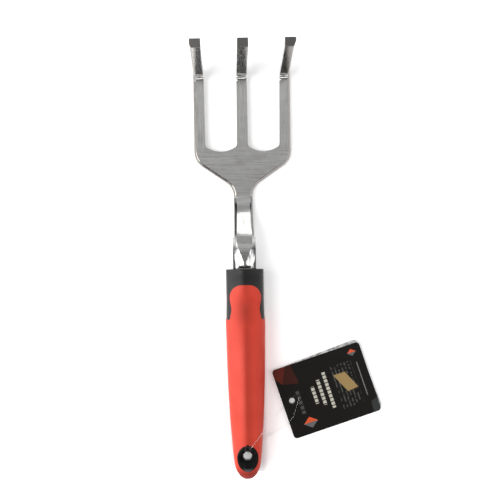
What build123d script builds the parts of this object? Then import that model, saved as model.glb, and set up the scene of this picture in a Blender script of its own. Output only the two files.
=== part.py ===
from build123d import *
from math import cos, pi, sin, tan, radians
import os

# Hand cultivator lying on its back, tips up. X is to the right, Y runs from
# the grip to the tines and Z is up. The origin is under the middle of the
# tool, on the surface that it lies on. All sizes are in millimetres.

os.makedirs("parts", exist_ok=True)

# ---- overall ----
TIP_Y = 152.25
END_Y = -152.25

# ---- fork head, an aluminium casting ----
HEAD_HALF = 35.5
PLATE_T = 5.8
TINE_TIP_HALF = 3.65
TINE_ROOT_HALF = 4.05
OUTER_INNER_TIP = 28.1
OUTER_INNER_ROOT = 27.2
SLOT_CORNER_Y = 88.5
SLOT_LOW_Y = 84.4
SLOT_CORNER_R = 3.6
SHOULDER_Y = 77.8
SHOULDER_R = 13.5
THROAT = (6.8, 58.1)
THROAT_R = 12.5
HOOK_INNER_Y = 138.9
HOOK_TOP_Y = 146.3
HOOK_TOP_Z = 60.0
HOOK_T = 5.95
TIP_FALL = 1.2
BEND_R = 3.6
# The ground bevel is wider on the right than on the left, and on the lower edges.
LEFT_BEVEL = 0.9
RIGHT_BEVEL = 1.9
LOWER_BEVEL = 1.7
PLATE_END_Y = 51.0

# ---- neck, boss and tang ----
# Each station: y, back z, front z, half-widths at the back, side and facet,
# depth of the facet's bevel, depth of the back bevel. The last six are the nose.
NECK = [
    (52.0, 0.0, 5.8, 6.8, 6.8, 5.1, 1.7, 0.3),
    (46.0, 0.2, 6.3, 7.1, 6.7, 4.8, 1.8, 0.8),
    (40.0, 1.6, 8.3, 7.5, 6.7, 4.8, 1.9, 1.4),
    (34.0, 3.6, 12.2, 7.9, 6.8, 5.0, 2.0, 1.8),
    (28.0, 5.2, 16.6, 8.1, 6.9, 5.2, 2.1, 2.0),
    (22.0, 6.4, 20.3, 8.1, 7.1, 5.5, 2.2, 2.0),
    (16.0, 7.4, 22.3, 7.9, 7.3, 5.2, 2.4, 1.4),
    (11.2, 8.2, 22.7, 7.6, 7.4, 3.8, 2.7, 0.8),
    (7.4, 8.8, 22.6, 7.3, 7.3, 2.3, 2.8, 0.5),
    (4.3, 9.0, 22.4, 6.9, 6.9, 1.3, 2.4, 0.4),
    (1.9, 9.0, 22.2, 5.9, 5.9, 0.7, 1.7, 0.3),
    (0.1, 9.0, 21.9, 4.4, 4.4, 0.5, 1.1, 0.3),
    (-0.9, 9.0, 21.6, 2.9, 2.9, 0.4, 0.7, 0.3),
]
SHANK_W = 16.8
SHANK_Z = (6.6, 16.6)
SHANK_R = 4.2
SHANK_TOP_Y = 21.0
TANG_W = 10.0
TANG_Z = (8.6, 15.4)
TANG_R = 2.0
TANG_STEP_Y = -12.0
TANG_END_Y = -92.0

# ---- grip ----
MOUTH_Y = -1.8
AXIS_Z = 14.2
# Each station: y, half-width, bottom z, top z, ridge height over its flanks.
GRIP = [
    (-1.8, 14.0, 2.0, 26.3, 1.5),
    (-10.5, 13.85, 1.6, 27.2, 1.7),
    (-19.0, 13.8, 1.3, 27.1, 1.3),
    (-27.5, 13.85, 1.0, 26.0, 0.8),
    (-36.5, 14.15, 0.7, 26.6, 1.2),
    (-46.5, 14.1, 0.4, 28.2, 1.9),
    (-57.5, 13.9, 0.1, 29.0, 2.3),
    (-69.0, 13.65, 0.0, 29.3, 2.5),
    (-80.5, 13.35, 0.1, 29.2, 2.6),
    (-91.5, 12.95, 0.4, 28.8, 2.6),
    (-102.0, 12.5, 0.9, 28.2, 2.5),
    (-111.5, 12.0, 1.5, 27.4, 2.3),
    (-120.0, 11.4, 2.2, 26.6, 2.0),
    (-127.5, 10.85, 2.8, 25.7, 1.7),
    (-134.0, 10.3, 3.4, 24.9, 1.4),
    (-139.6, 9.7, 4.1, 24.1, 1.2),
    (-144.0, 8.85, 5.2, 22.9, 1.0),
    (-147.3, 7.5, 6.7, 21.4, 0.8),
    (-149.7, 5.9, 8.4, 19.8, 0.6),
    (-151.3, 4.3, 10.0, 18.2, 0.4),
    (-152.25, 2.7, 11.6, 16.8, 0.2),
]
SKIN = 2.0
COLLAR_STEP = 0.35
COLLAR_END_Y = -57.5
CORE_Y = (-10.5, -120.0)
# The edge of the red tongue, from its tip to the side of the grip.
TONGUE_EDGE = [
    (0.0, -12.7),
    (5.4, -13.2),
    (9.4, -16.1),
    (11.1, -20.6),
    (10.6, -26.0),
    (10.1, -31.4),
    (11.0, -35.6),
    (15.5, -37.8),
]

# ---- hang hole ----
HOLE_Y = -136.0
DISH_SEMI = (7.6, 9.8)
FUNNEL_SEMI = (8.7, 10.0)
FUNNEL_Z = (2.6, 26.0)
THROAT_SEMI = (3.3, 3.4)
THROAT_Z = (12.2, 16.4)
SIDES = 8
NOTCH_R = 0.8

# ---- swing tag ----
TAG_CENTRE = (59.1, -92.2)
TAG_SIZE = (67.5, 53.0)
TAG_TURN = 18.0
TAG_CORNER_R = 2.6
TAG_HOLE = (33.5, -99.4)
TAG_HOLE_R = 2.0
TAG_Z = 1.4
COVER_T = 0.4
LEAF_T = 0.5
LEAF_TURNS = (2.4, 1.3)
LEAF_CUT = 1.4

# ---- thread and knot ----
THREAD_D = 0.6
KNOT_R = 0.9
KNOT_LENGTH = 2.4
KNOT_CENTRE = (17.6, -124.4, 0.95)
KNOT_TURN = 30.0
THREAD_POINTS = [
    (9.2, -129.1, 0.95),
    (0.2, -133.2, 0.95),
    (0.1, -133.75, 9.0),
    (0.1, -133.82, 17.2),
    (0.6, -131.2, 22.0),
    (2.6, -126.8, 28.0),
    (9.3, -119.9, 24.2),
    (16.2, -113.9, 11.5),
    (23.4, -107.9, 0.9),
    (28.6, -103.9, 0.45),
    (32.8, -101.0, 0.45),
    (34.1, -97.9, 3.9),
    (35.0, -95.6, 3.9),
    (37.5, -95.2, 3.9),
    (39.0, -97.3, 3.9),
    (36.9, -102.0, 3.9),
    (35.9, -107.0, 3.9),
    (33.6, -111.9, 3.9),
    (30.6, -116.0, 3.9),
    (26.0, -119.2, 3.8),
    (21.8, -121.9, 1.4),
]


def prism(sketch, low, high):
    return Pos(0, 0, low) * extrude(sketch, high - low)


def grip_section(y, half, low, high, ridge, inset=0.0):
    w = half - inset
    top = high - inset
    bottom = low + inset
    up = top - AXIS_Z
    down = AXIS_Z - bottom
    points = [
        (0, top),
        (0.46 * w, top - ridge * 0.8 - 0.02 * up),
        (0.84 * w, top - ridge - 0.24 * up),
        (w, AXIS_Z),
        (0.84 * w, bottom + 0.30 * down),
        (0.46 * w, bottom + 0.05 * down),
        (0, bottom),
    ]
    points += [(-x, z) for x, z in reversed(points[1:-1])]
    path = Spline([Vector(x, y, z) for x, z in points], periodic=True)
    return make_face(path)


def grip_body(inset, first_y, last_y):
    rows = [row for row in GRIP if last_y <= row[0] <= first_y]
    return loft([grip_section(*row, inset=inset) for row in rows])


# ---- fork head ----
outline = [
    (HEAD_HALF, TIP_Y + 5),
    (HEAD_HALF, SHOULDER_Y),
    THROAT,
    (THROAT[0], PLATE_END_Y),
]
half_outline = FilletPolyline(
    *[Vector(x, y) for x, y in outline], radius=[SHOULDER_R, THROAT_R]
)
plate = make_face(
    half_outline
    + Line((THROAT[0], PLATE_END_Y), (0, PLATE_END_Y))
    + Line((0, PLATE_END_Y), (0, TIP_Y + 5))
    + Line((0, TIP_Y + 5), (HEAD_HALF, TIP_Y + 5))
)
slot_mid = (TINE_ROOT_HALF + OUTER_INNER_ROOT) / 2
slot = make_face(
    ThreePointArc(
        (TINE_ROOT_HALF, SLOT_CORNER_Y), (slot_mid, SLOT_LOW_Y), (OUTER_INNER_ROOT, SLOT_CORNER_Y)
    )
    + Polyline(
        (OUTER_INNER_ROOT, SLOT_CORNER_Y),
        (OUTER_INNER_TIP, TIP_Y + 5),
        (TINE_TIP_HALF, TIP_Y + 5),
        (TINE_ROOT_HALF, SLOT_CORNER_Y),
    )
)
slot_corners = slot.vertices().filter_by_position(Axis.Y, SLOT_CORNER_Y - 1, SLOT_CORNER_Y + 1)
slot = fillet(slot_corners, SLOT_CORNER_R)
half_plan = plate - slot
plan = prism(half_plan + mirror(half_plan, Plane.YZ), 0, HOOK_TOP_Z + 5)

# The side view: plate, bend and hook.
hook_back_y = HOOK_INNER_Y + HOOK_T
side_points = [
    (PLATE_END_Y, 0.0),
    (hook_back_y, 0.0),
    (HOOK_TOP_Y + HOOK_T, HOOK_TOP_Z),
    (HOOK_TOP_Y, HOOK_TOP_Z - TIP_FALL),
    (HOOK_INNER_Y, PLATE_T),
    (PLATE_END_Y, PLATE_T),
]
side = make_face(Polyline([Vector(0, y, z) for y, z in side_points], close=True))
inner_corner = side.vertices().sort_by_distance((0, HOOK_INNER_Y, PLATE_T))[0]
side = fillet(inner_corner, BEND_R)
outer_corner = side.vertices().sort_by_distance((0, hook_back_y, 0))[0]
side = fillet(outer_corner, BEND_R + HOOK_T)
head = extrude(side, HEAD_HALF + 2, both=True) & plan


def front_edge(edge):
    """An edge of the outline on the front of the plate or the inside of the hooks."""
    mid = edge @ 0.5
    on_hook = mid.Z > PLATE_T and mid.Y < HOOK_TOP_Y + 0.1
    on_front = abs(mid.Z - PLATE_T) < 0.01 and mid.Y > PLATE_END_Y + 1
    return (on_front or on_hook) and edge.length > 1.5


def bevelled(shape, size, chosen):
    edges = [e for e in shape.edges() if front_edge(e) and chosen(e @ 0.5)]
    return chamfer(edges, size)


head = bevelled(head, LOWER_BEVEL, lambda mid: mid.Y < SLOT_LOW_Y - 1)
head = bevelled(head, RIGHT_BEVEL, lambda mid: mid.X > HEAD_HALF - 0.2)
head = bevelled(head, LEFT_BEVEL, lambda mid: mid.X < 0.2 - HEAD_HALF)


def neck_face(y, back_z, front_z, back, side_half, facet, bevel, back_bevel):
    points = [
        (facet, front_z),
        (side_half, front_z - bevel),
        (back, back_z + back_bevel),
        (back - back_bevel, back_z),
    ]
    points += [(-x, z) for x, z in reversed(points)]
    return make_face(Polyline([Vector(x, y, z) for x, z in points], close=True))


neck = loft([neck_face(*row) for row in NECK])

def bar(width, low, high, corner, first_y, last_y):
    face = RectangleRounded(width, high - low, corner)
    middle = Plane(origin=(0, first_y, (low + high) / 2), x_dir=(1, 0, 0), z_dir=(0, -1, 0))
    return extrude(middle * face, first_y - last_y)


shank = bar(SHANK_W, *SHANK_Z, SHANK_R, SHANK_TOP_Y, TANG_STEP_Y)
tang = bar(TANG_W, *TANG_Z, TANG_R, TANG_STEP_Y, TANG_END_Y)
head = head + neck + shank + tang

# ---- grip ----
body = grip_body(0, MOUTH_Y, END_Y)
collar_body = grip_body(COLLAR_STEP, MOUTH_Y, COLLAR_END_Y)
core_blank = grip_body(SKIN, CORE_Y[0], CORE_Y[1])

tongue_edge = Spline(
    [Vector(x, y) for x, y in TONGUE_EDGE], tangents=[Vector(1, 0), Vector(1, -0.1)]
)
side_x = TONGUE_EDGE[-1][0]
half_red = make_face(
    tongue_edge
    + Polyline(
        TONGUE_EDGE[-1], (side_x, END_Y - 5), (0, END_Y - 5), TONGUE_EDGE[0]
    )
)
red_zone = prism(half_red + mirror(half_red, Plane.YZ), -2, 35)

oval = Pos(0, HOLE_Y) * Ellipse(*DISH_SEMI)
notch = Pos(0, HOLE_Y + DISH_SEMI[1]) * Circle(NOTCH_R)
dish_zone = prism(oval + notch, -2, 35)


def octagon(semi, turn):
    step = 2 * pi / SIDES
    return [
        (semi[0] * cos((k + turn) * step), HOLE_Y + semi[1] * sin((k + turn) * step))
        for k in range(SIDES)
    ]


def funnel(wide_z, narrow_z):
    """A faceted funnel: a ring of triangles between two turned octagons."""
    wide = [Vector(x, y, wide_z) for x, y in octagon(FUNNEL_SEMI, 0.0)]
    narrow = [Vector(x, y, narrow_z) for x, y in octagon(THROAT_SEMI, 0.5)]
    faces = [make_face(Polyline(wide, close=True)), make_face(Polyline(narrow, close=True))]
    for k in range(SIDES):
        following = (k + 1) % SIDES
        faces.append(make_face(Polyline([wide[k], wide[following], narrow[k]], close=True)))
        faces.append(
            make_face(Polyline([wide[following], narrow[k], narrow[following]], close=True))
        )
    return Solid(Shell([f.face() for f in faces]))


throat = prism(
    make_face(Polyline([Vector(x, y) for x, y in octagon(THROAT_SEMI, 0.5)], close=True)),
    THROAT_Z[0] - 0.1,
    THROAT_Z[1] + 0.1,
)
liner = (body & dish_zone) - throat - funnel(FUNNEL_Z[1], THROAT_Z[1])
liner = liner - funnel(FUNNEL_Z[0], THROAT_Z[0])

metal = shank + tang
inside = core_blank + metal + dish_zone
sleeve = (body - inside) & red_zone
collar = collar_body - inside - red_zone
core = core_blank - metal - dish_zone

# ---- swing tag ----
def tag_sheet(low, thickness, turn, cut):
    width = TAG_SIZE[0] - cut
    sheet = Pos(cut / 2, 0) * RectangleRounded(width, TAG_SIZE[1], TAG_CORNER_R)
    sheet = Pos(*TAG_CENTRE) * Rot(0, 0, TAG_TURN) * sheet
    hole = Pos(*TAG_HOLE)
    sheet = hole * Rot(0, 0, turn) * hole.inverse() * sheet
    return prism(sheet - hole * Circle(TAG_HOLE_R), low, low + thickness)


back_cover = tag_sheet(TAG_Z, COVER_T, 0, 0)
leaf_lower = tag_sheet(TAG_Z + COVER_T, LEAF_T, LEAF_TURNS[0], LEAF_CUT)
leaf_upper = tag_sheet(TAG_Z + COVER_T + LEAF_T, LEAF_T, LEAF_TURNS[1], LEAF_CUT)
front_cover = tag_sheet(TAG_Z + COVER_T + 2 * LEAF_T, COVER_T, 0, 0)

# ---- knot and thread ----
along = Vector(cos(radians(KNOT_TURN)), sin(radians(KNOT_TURN)), 0)
knot_start = Vector(*KNOT_CENTRE) - along * (KNOT_LENGTH / 2)
knot_end = Vector(*KNOT_CENTRE) + along * (KNOT_LENGTH / 2)
knot = extrude(Plane(origin=knot_start, z_dir=along) * Circle(KNOT_R), KNOT_LENGTH)
knot = fillet(knot.edges().filter_by(GeomType.CIRCLE), 0.3)

route = [knot_start] + [Vector(*p) for p in THREAD_POINTS] + [knot_end]
radii = []
for before, here, after in zip(route, route[1:], route[2:]):
    turn = (here - before).get_angle(after - here)
    run = min((here - before).length, (after - here).length)
    radii.append(0.45 * run / tan(radians(turn / 2)))
    print(f"turn {turn:5.1f} run {run:5.2f} radius {radii[-1]:6.2f} ({radii[-1] / THREAD_D:.1f} d)")
line = FilletPolyline(*route, radius=radii)
section = Plane(origin=line @ 0, z_dir=line % 0) * Circle(THREAD_D / 2)
thread = sweep(section, path=line)
print("thread length", round(line.length, 2), "volume", round(thread.volume, 3))
print("section times length", round(pi * THREAD_D**2 / 4 * line.length, 3))

parts = {
    "fork_head": head,
    "handle_core": core,
    "front_collar": collar,
    "grip_sleeve": sleeve,
    "hang_hole_liner": liner,
    "tag_back_cover": back_cover,
    "tag_leaf_lower": leaf_lower,
    "tag_leaf_upper": leaf_upper,
    "tag_front_cover": front_cover,
    "thread_knot": knot,
    "tag_thread": thread,
}
for name, shape in parts.items():
    print(name, shape.is_valid, len(shape.solids()), round(shape.volume, 1))
    export_step(shape, f"parts/{name}.step")
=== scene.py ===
import bpy
from math import radians
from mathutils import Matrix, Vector


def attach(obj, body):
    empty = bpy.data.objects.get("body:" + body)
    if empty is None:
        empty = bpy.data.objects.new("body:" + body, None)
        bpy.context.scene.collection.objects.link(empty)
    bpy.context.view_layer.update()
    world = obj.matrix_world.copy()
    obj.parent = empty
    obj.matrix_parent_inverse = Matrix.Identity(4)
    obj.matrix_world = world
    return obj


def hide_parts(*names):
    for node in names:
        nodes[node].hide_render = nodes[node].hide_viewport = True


# Looks of a hand cultivator that lies on its back, tips up. The frame is in
# metres: X right, Y from the grip to the tines, Z up.

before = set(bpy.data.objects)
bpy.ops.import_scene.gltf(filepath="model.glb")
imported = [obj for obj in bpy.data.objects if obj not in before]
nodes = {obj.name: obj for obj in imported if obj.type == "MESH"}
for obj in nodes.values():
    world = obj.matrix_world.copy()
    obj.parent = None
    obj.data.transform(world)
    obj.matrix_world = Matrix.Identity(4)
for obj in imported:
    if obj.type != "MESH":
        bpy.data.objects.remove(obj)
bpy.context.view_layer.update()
scene = bpy.context.scene
scene.view_settings.view_transform = "Standard"

MM = 0.001

# ---- sizes that the looks share with the part, in millimetres ----
TAG_CENTRE = (59.1, -92.2)
TAG_TURN = 18.0
TAG_HOLE = (33.5, -99.4)
THREAD_D = 0.6
THREAD_POINTS = [
    (16.56, -125.0, 0.95),
    (9.2, -129.1, 0.95),
    (0.2, -133.2, 0.95),
    (0.1, -133.75, 9.0),
    (0.1, -133.82, 17.2),
    (0.6, -131.2, 22.0),
    (2.6, -126.8, 28.0),
    (9.3, -119.9, 24.2),
    (16.2, -113.9, 11.5),
    (23.4, -107.9, 0.9),
    (28.6, -103.9, 0.45),
    (32.8, -101.0, 0.45),
    (34.1, -97.9, 3.9),
    (35.0, -95.6, 3.9),
    (37.5, -95.2, 3.9),
    (39.0, -97.3, 3.9),
    (36.9, -102.0, 3.9),
    (35.9, -107.0, 3.9),
    (33.6, -111.9, 3.9),
    (30.6, -116.0, 3.9),
    (26.0, -119.2, 3.8),
    (21.8, -121.9, 1.4),
    (18.64, -123.8, 0.95),
]

# ---- camera ----
# It looks straight down on the tool, a little turned.
CAMERA_AT = (-0.0111, 0.01225, 0.550)
CAMERA_TURN = -0.9
LENS = 53.49
SENSOR = 36
SHIFT = 0.042

camera_data = bpy.data.cameras.new("camera")
camera = bpy.data.objects.new("camera", camera_data)
scene.collection.objects.link(camera)
camera.location = CAMERA_AT
camera.rotation_euler = (0, 0, radians(CAMERA_TURN))
camera_data.lens = LENS
camera_data.sensor_width = SENSOR
camera_data.shift_x = SHIFT
scene.camera = camera


# ---- lights and floor ----
def aim(obj, target):
    direction = Vector(target) - obj.location
    obj.rotation_euler = direction.to_track_quat("-Z", "Y").to_euler()


def soft_box(name, at, size, power):
    """A white area light that points at the middle of the object."""
    data = bpy.data.lights.new(name, "AREA")
    data.shape = "RECTANGLE"
    data.size, data.size_y = size
    data.energy = power
    obj = bpy.data.objects.new(name, data)
    scene.collection.objects.link(obj)
    obj.location = at
    aim(obj, (0, 0, 0))


soft_box("left_box", (-1.15, -0.15, 0.72), (1.0, 2.4), 40)
soft_box("right_box", (1.20, -0.15, 0.64), (0.8, 2.3), 12)

# The studio round the object, as stops of (how far the direction points to
# +Y, brightness): a bright strip low at each end and a dimmer ceiling.
STUDIO = [
    (-1.00, 0.18), (-0.93, 0.24), (-0.90, 1.9), (-0.77, 1.9), (-0.73, 0.12), (-0.55, 0.09),
    (-0.42, 0.12), (-0.30, 0.26), (-0.16, 0.24), (-0.06, 0.20), (-0.01, 0.26), (0.05, 0.40),
    (0.12, 0.46), (0.26, 0.60), (0.45, 0.45), (0.74, 0.40), (0.85, 0.55), (0.90, 2.2),
    (0.97, 2.2), (1.00, 0.7),
]
# The ceiling is dimmer away from the middle, and the room is dim low down.
SIDE = (0.22, 0.42)
SIDE_SHARE = 0.35
HORIZON = (0.05, 0.32)
HORIZON_SHARE = 0.3

world = bpy.data.worlds.new("studio")
scene.world = world
world.use_nodes = True
studio = world.node_tree


def studio_ramp(value, ends, share):
    """A brightness that falls or rises between two values of a direction."""
    node = studio.nodes.new("ShaderNodeMapRange")
    node.inputs["From Min"].default_value = ends[0]
    node.inputs["From Max"].default_value = ends[1]
    node.inputs["To Min"].default_value = share[0]
    node.inputs["To Max"].default_value = share[1]
    studio.links.new(value, node.inputs["Value"])
    return node.outputs[0]


def studio_math(kind, *values):
    node = studio.nodes.new("ShaderNodeMath")
    node.operation = kind
    for value, socket in zip(values, node.inputs):
        studio.links.new(value, socket)
    return node.outputs[0]


direction = studio.nodes.new("ShaderNodeTexCoord").outputs["Generated"]
split = studio.nodes.new("ShaderNodeSeparateXYZ")
studio.links.new(direction, split.inputs[0])
strip = studio.nodes.new("ShaderNodeValToRGB")
while len(strip.color_ramp.elements) < len(STUDIO):
    strip.color_ramp.elements.new(0.5)
for element, (where, level) in zip(strip.color_ramp.elements, STUDIO):
    element.position = (where + 1) / 2
    element.color = (level, level, level, 1)
studio.links.new(studio_ramp(split.outputs["Y"], (-1, 1), (0, 1)), strip.inputs["Fac"])
aside = studio_ramp(studio_math("ABSOLUTE", split.outputs["X"]), SIDE, (1, SIDE_SHARE))
low = studio_ramp(split.outputs["Z"], HORIZON, (HORIZON_SHARE, 1))
background = studio.nodes["Background"]
studio.links.new(strip.outputs["Color"], background.inputs["Color"])
studio.links.new(studio_math("MULTIPLY", aside, low), background.inputs["Strength"])


def mesh_object(name, points, faces):
    mesh = bpy.data.meshes.new(name)
    mesh.from_pydata(points, [], faces)
    obj = bpy.data.objects.new(name, mesh)
    scene.collection.objects.link(obj)
    return obj


FLOOR_HALF = 3.0
floor_corners = [
    (-FLOOR_HALF, -FLOOR_HALF, 0), (FLOOR_HALF, -FLOOR_HALF, 0),
    (FLOOR_HALF, FLOOR_HALF, 0), (-FLOOR_HALF, FLOOR_HALF, 0),
]
floor = mesh_object("floor", floor_corners, [(0, 1, 2, 3)])


# ---- node helpers ----
class Graph:
    """A material's node tree, with short calls for the nodes in use here."""

    def __init__(self, name):
        self.material = bpy.data.materials.new(name)
        self.material.use_nodes = True
        self.tree = self.material.node_tree
        self.shader = self.tree.nodes["Principled BSDF"]
        places = self.tree.nodes.new("ShaderNodeTexCoord").outputs
        self.coordinates = places["Object"]
        self.normal = places["Normal"]

    def link(self, source, socket):
        if hasattr(source, "is_output"):
            self.tree.links.new(source, socket)
        else:
            socket.default_value = source

    def math(self, kind, a, b=0.5):
        node = self.tree.nodes.new("ShaderNodeMath")
        node.operation = kind
        self.link(a, node.inputs[0])
        self.link(b, node.inputs[1])
        return node.outputs[0]

    def length(self, vector=None):
        node = self.tree.nodes.new("ShaderNodeVectorMath")
        node.operation = "LENGTH"
        self.link(vector or self.coordinates, node.inputs[0])
        return node.outputs["Value"]

    def along(self, vector, direction):
        node = self.tree.nodes.new("ShaderNodeVectorMath")
        node.operation = "DOT_PRODUCT"
        self.link(vector, node.inputs[0])
        node.inputs[1].default_value = direction
        return node.outputs["Value"]

    def all_of(self, *shares):
        result = shares[0]
        for share in shares[1:]:
            result = self.math("MULTIPLY", result, share)
        return result

    def band(self, value, low, high):
        return self.all_of(
            self.math("GREATER_THAN", value, low), self.math("LESS_THAN", value, high)
        )

    def polygon(self, vector, corners):
        """1 inside a convex outline whose corners go anticlockwise."""
        sides = []
        for (x0, y0), (x1, y1) in zip(corners, corners[1:] + corners[:1]):
            normal = (y0 - y1, x1 - x0, 0)
            height = normal[0] * x0 + normal[1] * y0
            sides.append(self.math("GREATER_THAN", self.along(vector, normal), height))
        return self.all_of(*sides)

    def split(self, vector=None):
        node = self.tree.nodes.new("ShaderNodeSeparateXYZ")
        self.link(vector or self.coordinates, node.inputs[0])
        return node.outputs

    def mix_value(self, share, a, b):
        node = self.tree.nodes.new("ShaderNodeMix")
        self.link(share, node.inputs[0])
        self.link(a, node.inputs[2])
        self.link(b, node.inputs[3])
        return node.outputs[0]

    def mapped(self, scale=(1, 1, 1), at=(0, 0, 0), turn=0.0):
        node = self.tree.nodes.new("ShaderNodeMapping")
        node.vector_type = "TEXTURE" if turn or any(at) else "POINT"
        node.inputs["Location"].default_value = at
        node.inputs["Rotation"].default_value = (0, 0, turn)
        node.inputs["Scale"].default_value = scale
        self.link(self.coordinates, node.inputs["Vector"])
        return node.outputs[0]

    def noise(self, scale, detail=3.0, rough=0.5, stretch=(1, 1, 1), vector=None):
        node = self.tree.nodes.new("ShaderNodeTexNoise")
        node.inputs["Scale"].default_value = scale
        node.inputs["Detail"].default_value = detail
        node.inputs["Roughness"].default_value = rough
        self.link(vector or self.mapped(stretch), node.inputs["Vector"])
        return node.outputs[0]

    def ramp(self, value, low, high, start=0.0, end=1.0):
        node = self.tree.nodes.new("ShaderNodeMapRange")
        node.inputs["From Min"].default_value = low
        node.inputs["From Max"].default_value = high
        node.inputs["To Min"].default_value = start
        node.inputs["To Max"].default_value = end
        self.link(value, node.inputs["Value"])
        return node.outputs[0]

    def mix(self, share, a, b):
        node = self.tree.nodes.new("ShaderNodeMix")
        node.data_type = "RGBA"
        self.link(share, node.inputs[0])
        self.link(a, node.inputs[6])
        self.link(b, node.inputs[7])
        return node.outputs[2]

    def bump(self, height, distance, strength=1.0, after=None):
        node = self.tree.nodes.new("ShaderNodeBump")
        node.inputs["Strength"].default_value = strength
        node.inputs["Distance"].default_value = distance
        self.link(height, node.inputs["Height"])
        if after:
            self.link(after, node.inputs["Normal"])
        return node.outputs[0]

    def set(self, **inputs):
        for name, value in inputs.items():
            self.link(value, self.shader.inputs[name.replace("_", " ")])
        return self.material


def grey(value):
    return (value, value, value, 1)


def paint(node, *materials):
    mesh = nodes[node].data
    mesh.materials.clear()
    for material in materials:
        mesh.materials.append(material)


def soften(node, width, angle):
    """Rounds the sharp edges of a hard CAD node, width in millimetres."""
    obj = nodes[node]
    weld = obj.modifiers.new("weld", "WELD")
    weld.merge_threshold = 0.002 * MM
    bevel = obj.modifiers.new("edge", "BEVEL")
    bevel.width = width * MM
    bevel.segments = 3
    bevel.limit_method = "ANGLE"
    bevel.angle_limit = radians(angle)
    bevel.harden_normals = True


# ---- floor ----
# Painted light: the floor glows a little near the object, so shadows are faint.
# The glow stops under the grip, a painted shade that keeps the hang hole dark.
GLOW = 0.30
GLOW_CORE = 0.25
GLOW_REACH = 0.7
DARK_X = (0.012, 0.016)
DARK_Y = (-0.152, -0.004)

g = Graph("pale_floor")
tone = g.noise(6.0, 4.0)
spot = g.split()
shade_under_grip = g.all_of(
    g.ramp(g.math("ABSOLUTE", spot["X"]), DARK_X[1], DARK_X[0]), g.band(spot["Y"], *DARK_Y)
)
# Painted light from the floor, cut away by painted shade under the grip.
glow = g.math("SUBTRACT", g.ramp(g.length(), GLOW_REACH, GLOW_CORE), shade_under_grip)
floor_material = g.set(
    Base_Color=g.mix(tone, grey(0.93), grey(0.95)),
    Roughness=0.9,
    Specular_IOR_Level=0.1,
    Emission_Color=grey(1.0),
    Emission_Strength=g.math("MULTIPLY", glow, GLOW),
)
floor.data.materials.append(floor_material)

# ---- aluminium ----
# Places along the casting, in metres. Each pair is a short stretch that fades.
SLOT_Y = (0.084, 0.092)
NECK_Y = (0.050, 0.053)
LOWER_EDGE_Y = (0.083, 0.085)
NECK_FOOT_Y = (0.016, 0.024)
NOSE_Y = (0.019, 0.013)
HOOK_Z = (0.008, 0.016)
BEVEL_FADE_Z = (0.034, 0.008)
TIP_Z = (0.0585, 0.0589)
OUTER_TINE_X = 0.02
NECK_MIDDLE_X = (0.004, -0.004)
LEAST_BEVEL_SHADE = 0.35
HOOK_SHADE = 0.85
CHEEK_SHADE_SHARE = 0.85
BEVEL_SHADE_SHARE = 0.9
EDGE_WIDTH = 0.35
EDGE_ANGLE = 28

CLEAN = grey(0.66)
GRIMY = (0.55, 0.54, 0.51, 1)
LINE = (0.72, 0.72, 0.70, 1)
PIT = grey(0.2)
BEVEL_SHADE_TONES = ((0.17, 0.15, 0.14, 1), (0.27, 0.245, 0.225, 1))
NECK_BEVEL_SHADE = (0.18, 0.045)
CHEEK_SHADE_TONES = (0.10, 0.58)
NOSE_EDGE_SHADE = grey(0.05)
TIP = (0.13, 0.125, 0.12, 1)


def bevel_shade_share(g, place, facing, on_head):
    """How much painted shade darkens the head's bevels, and the face of the right hook.

    The painted shade on the bevels fades up the hooks, except on the left tine.
    """
    sideways = g.math("ABSOLUTE", facing["X"])
    low_down = g.ramp(place["Z"], *BEVEL_FADE_Z)
    on_left = g.math("LESS_THAN", place["X"], -OUTER_TINE_X)
    amount = g.math("MAXIMUM", g.math("MAXIMUM", low_down, on_left), LEAST_BEVEL_SHADE)
    side = g.all_of(on_head, g.ramp(sideways, 0.25, 0.45), amount)
    lower = g.all_of(
        on_head,
        g.ramp(facing["Y"], -0.2, -0.4),
        g.ramp(place["Y"], LOWER_EDGE_Y[1], LOWER_EDGE_Y[0]),
    )
    right_hook = g.all_of(
        g.math("GREATER_THAN", place["X"], OUTER_TINE_X),
        g.ramp(place["Z"], *HOOK_Z),
        g.ramp(facing["Y"], -0.4, -0.6),
        HOOK_SHADE,
    )
    return g.math("MAXIMUM", g.math("MAXIMUM", side, lower), right_hook)


def neck_bevel_shade(g, colour, place, facing):
    """Painted shade on the neck's bevels, darkest on the left."""
    sideways = g.math("ABSOLUTE", facing["X"])
    bevel = g.all_of(
        g.ramp(place["Y"], NECK_Y[1], NECK_Y[0]),
        g.ramp(place["Y"], *NECK_FOOT_Y),
        g.ramp(sideways, 0.30, 0.42),
        g.ramp(sideways, 0.92, 0.86),
    )
    return g.mix(bevel, colour, g.ramp(place["X"], *NECK_MIDDLE_X, *NECK_BEVEL_SHADE))


def nose_shade(g, colour, place, facing):
    """Painted shade in streaks on the nose's cheeks beside its facet, and painted shade on
    its outer edge.
    """
    on_nose = g.ramp(place["Y"], *NOSE_Y)
    streaks = g.noise(260, 4.0, 0.6, stretch=(2.2, 0.35, 1))
    cheek = g.all_of(on_nose, g.ramp(facing["Z"], 0.985, 0.96), CHEEK_SHADE_SHARE)
    edge = g.all_of(on_nose, g.ramp(facing["Z"], 0.84, 0.76))
    colour = g.mix(cheek, colour, g.ramp(streaks, 0.38, 0.62, *CHEEK_SHADE_TONES))
    return g.mix(edge, colour, NOSE_EDGE_SHADE)


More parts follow.
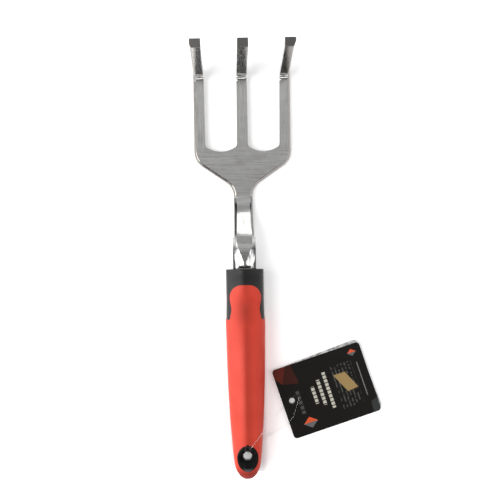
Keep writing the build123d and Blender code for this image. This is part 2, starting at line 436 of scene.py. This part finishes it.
# Belt marks run across the plate and along the tines. The tips are sawn and dull.
g = Graph("polished_aluminium")
place = g.split()
facing = g.split(g.normal)
across = g.noise(420, 5.0, 0.65, stretch=(0.12, 2.6, 1.5))
along = g.noise(420, 5.0, 0.65, stretch=(2.6, 0.12, 0.4))
brush = g.mix_value(g.ramp(place["Y"], *SLOT_Y), across, along)
broad = g.noise(75, 2.0)
grime = g.noise(130, 5.0, 0.6)
pits = g.ramp(g.noise(900, 2.0), 0.30, 0.24)
tip = g.ramp(place["Z"], *TIP_Z)
bevel_shade = bevel_shade_share(g, place, facing, g.ramp(place["Y"], *NECK_Y))
clean = g.mix(g.ramp(grime, 0.35, 0.75), CLEAN, GRIMY)
lined = g.mix(g.ramp(brush, 0.42, 0.62), clean, LINE)
pitted = g.mix(g.math("MULTIPLY", pits, 0.5), lined, PIT)
# Painted shade on the bevels and the right hook's face, varied by the grime noise.
colour = g.mix(g.math("MULTIPLY", bevel_shade, BEVEL_SHADE_SHARE), pitted, g.mix(grime, *BEVEL_SHADE_TONES))
# Painted shade on the neck's bevels.
colour = neck_bevel_shade(g, colour, place, facing)
# Painted shade on the nose's cheeks and outer edge.
colour = nose_shade(g, colour, place, facing)
gloss = g.ramp(brush, 0.3, 0.7, 0.11, 0.21)
aluminium = g.set(
    Base_Color=g.mix(tip, colour, TIP),
    Metallic=1.0,
    Roughness=g.math("MAXIMUM", gloss, g.math("MULTIPLY", tip, 0.42)),
    Normal=g.bump(brush, 0.00003, 0.5, g.bump(broad, 0.0005, 0.30)),
)
paint("fork_head", aluminium)
soften("fork_head", EDGE_WIDTH, EDGE_ANGLE)

# ---- grip ----
# Painted shade darkens the crease, the thumb hollow and the lower end. Places
# are in metres, and each share is how much of the painted shade shows.
CREASE_X = (0.0052, 0.0012)
CREASE_SHARE = 0.28
THUMB_AT = (0, -0.031, 0)
THUMB_REACH = (0.006, 0.014, 1.0)
THUMB_SHARE = 0.50
LOW_END_Y = (-0.1415, -0.1475)
LOW_END_SHARE = 0.62
BASE_RED = ((0.60, 0.047, 0.023, 1), (0.54, 0.038, 0.018, 1))
SHADED_RED = (0.10, 0.008, 0.004, 1)

g = Graph("red_rubber")
grain = g.noise(2600, 3.0)
patch = g.ramp(g.noise(45, 3.0), 0.3, 0.7)
place = g.split()
aside = g.math("ABSOLUTE", place["X"])
crease = g.math("MULTIPLY", g.ramp(aside, *CREASE_X), CREASE_SHARE)
from_thumb = g.length(g.mapped(THUMB_REACH, THUMB_AT))
hollow = g.math("MULTIPLY", g.ramp(from_thumb, 1.3, 0.1), THUMB_SHARE)
low_end = g.math("MULTIPLY", g.ramp(place["Y"], *LOW_END_Y), LOW_END_SHARE)
# The painted shade: the darkest share of the crease, the hollow and the lower end.
painted_shade = g.math("MAXIMUM", g.math("MAXIMUM", crease, hollow), low_end)
red = g.set(
    Base_Color=g.mix(painted_shade, g.mix(patch, *BASE_RED), SHADED_RED),
    Roughness=g.mix_value(patch, 0.50, 0.60),
    Specular_IOR_Level=0.26,
    Normal=g.bump(grain, 0.00008, 0.35),
)
paint("grip_sleeve", red)

g = Graph("black_rubber")
grain = g.noise(2600, 3.0)
patch = g.noise(60, 3.0)
black = g.set(
    Base_Color=g.mix(g.ramp(patch, 0.3, 0.7), grey(0.006), grey(0.011)),
    Roughness=g.ramp(patch, 0.3, 0.7, 0.40, 0.52),
    Specular_IOR_Level=0.27,
    Normal=g.bump(grain, 0.00008, 0.35),
)
paint("front_collar", black)
paint("handle_core", black)

g = Graph("gloss_black")
patch = g.noise(160, 4.0)
liner = g.set(
    Base_Color=g.mix(patch, grey(0.006), grey(0.014)),
    Roughness=g.ramp(patch, 0.3, 0.7, 0.08, 0.2),
    Normal=g.bump(patch, 0.0002, 0.2),
)
paint("hang_hole_liner", liner)

# ---- tag ----
# The printed front, in millimetres from the tag's middle, along its own sides.
# Rows of plain blocks stand where a tag has its words.
BLACK_INK = ((0.0045, 0.0042, 0.004, 1), (0.009, 0.008, 0.007, 1))
RED_INK = (0.105, 0.016, 0.010, 1)
DARK_RED_INK = (0.040, 0.010, 0.007, 1)
GREY_INK = (0.030, 0.034, 0.033, 1)
PALE_INK = (0.46, 0.45, 0.38, 1)
DIM_INK = (0.060, 0.060, 0.056, 1)
ORANGE_INK = (0.58, 0.085, 0.030, 1)
WOOD_INK = ((0.34, 0.24, 0.105, 1), (0.22, 0.145, 0.055, 1))
RED_CORNER = [(-33.8, 20.0), (-29.4, 14.4), (-23.8, 26.6), (-33.8, 26.6)]
RED_SHADE = [(-29.4, 14.4), (-17.3, 11.5), (-19.5, 26.6), (-23.8, 26.6)]
GREY_CORNER = [(28.0, -26.6), (33.8, -26.6), (33.8, -16.5), (28.6, -18.0)]
WOOD = [(14.8, -5.6), (23.1, -4.8), (17.0, 8.8), (8.1, 8.9)]
LOZENGES = [((-18.4, -18.4), 5.4, 4.2), ((26.3, 20.6), 3.4, 2.6)]
# Each title row: its place across, its ends along, its thickness.
TITLE_ROWS = [(-9.3, -7.1, 6.0, 2.5), (-3.9, -9.7, 9.5, 2.5), (1.6, -13.9, 13.5, 2.5)]
NAME_ROW = (-20.9, -11.0, 7.4, 2.6)
SMALL_ROWS = (6.2, 23.6, -17.0, 15.5)
SMALL_PITCH = 2.6
SIDE_ROW = (27.6, -12.7, 12.7, 0.7)
# Each kind of row: how far apart its blocks are, and the share of it they fill.
NAME_BLOCKS = (3.8, 0.7)
TITLE_BLOCKS = (2.9, 0.76)
SIDE_BLOCKS = (1.3, 0.8)
SIDE_INK = (0.20, 0.19, 0.17, 1)
LOZENGE_INK = (ORANGE_INK, (0.11, 0.11, 0.11, 1))
GRAIN_TURN = 66
# The wear round the punched hole fades between these distances, in metres.
HOLE_WEAR = (0.0027, 0.0020)


def blocks(g, parts, row, pitch, share):
    """A row of plain blocks with gaps, where a line of words would be."""
    across, start, end, thickness = row
    step = g.math("FRACT", g.math("DIVIDE", parts["Y"], pitch))
    return g.all_of(
        g.band(parts["X"], across - thickness / 2, across + thickness / 2),
        g.band(parts["Y"], start, end),
        g.math("LESS_THAN", step, share),
    )


def lozenge(middle, half_width, half_height):
    x, y = middle
    right, top = (x + half_width, y), (x, y + half_height)
    left, bottom = (x - half_width, y), (x, y - half_height)
    return [left, right, top], [left, bottom, right]


g = Graph("tag_front")
fibre = g.noise(900, 4.0)
tag_at = (TAG_CENTRE[0] * MM, TAG_CENTRE[1] * MM, 0)
card = g.mapped((MM, MM, MM), tag_at, radians(TAG_TURN))
parts = g.split(card)
colour = g.mix(fibre, *BLACK_INK)
colour = g.mix(g.polygon(card, RED_SHADE), colour, DARK_RED_INK)
colour = g.mix(g.polygon(card, RED_CORNER), colour, RED_INK)
colour = g.mix(g.polygon(card, GREY_CORNER), colour, GREY_INK)
word = g.math("GREATER_THAN", g.noise(0.42, 1.0, vector=card), 0.47)
row = g.math("LESS_THAN", g.math("FRACT", g.math("DIVIDE", parts["X"], SMALL_PITCH)), 0.36)
small = g.all_of(
    row, word, g.band(parts["X"], *SMALL_ROWS[:2]), g.band(parts["Y"], *SMALL_ROWS[2:])
)
colour = g.mix(small, colour, DIM_INK)
colour = g.mix(blocks(g, parts, NAME_ROW, *NAME_BLOCKS), colour, DIM_INK)
for title in TITLE_ROWS:
    colour = g.mix(blocks(g, parts, title, *TITLE_BLOCKS), colour, PALE_INK)
colour = g.mix(blocks(g, parts, SIDE_ROW, *SIDE_BLOCKS), colour, SIDE_INK)
board = g.mapped((4 * MM, MM / 2, MM), tag_at, radians(TAG_TURN + GRAIN_TURN))
fine = g.noise(1.2, 4.0, 0.6, vector=board)
colour = g.mix(g.polygon(card, WOOD), colour, g.mix(fine, *WOOD_INK))
for middle, half_width, half_height in LOZENGES:
    upper, lower = lozenge(middle, half_width, half_height)
    colour = g.mix(g.polygon(card, upper), colour, LOZENGE_INK[0])
    colour = g.mix(g.polygon(card, lower), colour, LOZENGE_INK[1])
place = g.split()
hole_x = g.math("SUBTRACT", place["X"], TAG_HOLE[0] * MM)
hole_y = g.math("SUBTRACT", place["Y"], TAG_HOLE[1] * MM)
from_hole = g.math("SQRT", g.math("ADD", g.all_of(hole_x, hole_x), g.all_of(hole_y, hole_y)))
worn = g.ramp(from_hole, *HOLE_WEAR)
colour = g.mix(g.math("MULTIPLY", worn, 0.6), colour, grey(0.16))
tag_front = g.set(
    Base_Color=colour,
    Roughness=g.ramp(fibre, 0.3, 0.7, 0.30, 0.42),
    Specular_IOR_Level=0.15,
    Normal=g.bump(fibre, 0.00003, 0.4),
)
paint("tag_front_cover", tag_front)

g = Graph("tag_back")
fibre = g.noise(900, 4.0)
tag_back = g.set(
    Base_Color=g.mix(fibre, *BLACK_INK),
    Roughness=g.ramp(fibre, 0.3, 0.7, 0.4, 0.55),
    Specular_IOR_Level=0.25,
    Normal=g.bump(fibre, 0.00003, 0.4),
)
paint("tag_back_cover", tag_back)

g = Graph("tag_paper")
fibre = g.noise(1500, 5.0, 0.7)
print_edge = g.ramp(g.noise(350, 3.0), 0.42, 0.58)
bare = g.mix(fibre, grey(0.42), grey(0.72))
paper = g.set(
    Base_Color=g.mix(g.math("MULTIPLY", print_edge, 0.7), bare, grey(0.10)),
    Roughness=0.85,
    Normal=g.bump(fibre, 0.0001, 0.6),
)
paint("tag_leaf_upper", paper)
paint("tag_leaf_lower", paper)

# ---- thread ----
g = Graph("clear_nylon")
nylon = g.set(
    Base_Color=(0.97, 0.98, 0.98, 1),
    Roughness=0.06,
    Transmission_Weight=1.0,
    IOR=1.45,
)
paint("thread_knot", nylon)

curve = bpy.data.curves.new("clear_thread", "CURVE")
curve.dimensions = "3D"
spline = curve.splines.new("NURBS")
spline.points.add(len(THREAD_POINTS) - 1)
for point, place in zip(spline.points, THREAD_POINTS):
    point.co = (*[value * MM for value in place], 1)
spline.order_u = 3
spline.use_endpoint_u = True
spline.resolution_u = 12
curve.bevel_depth = THREAD_D * MM / 2
curve.bevel_resolution = 4
curve.use_fill_caps = True
curve.materials.append(nylon)
thread = bpy.data.objects.new("clear_thread", curve)
scene.collection.objects.link(thread)
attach(thread, "thread")
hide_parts("tag_thread")
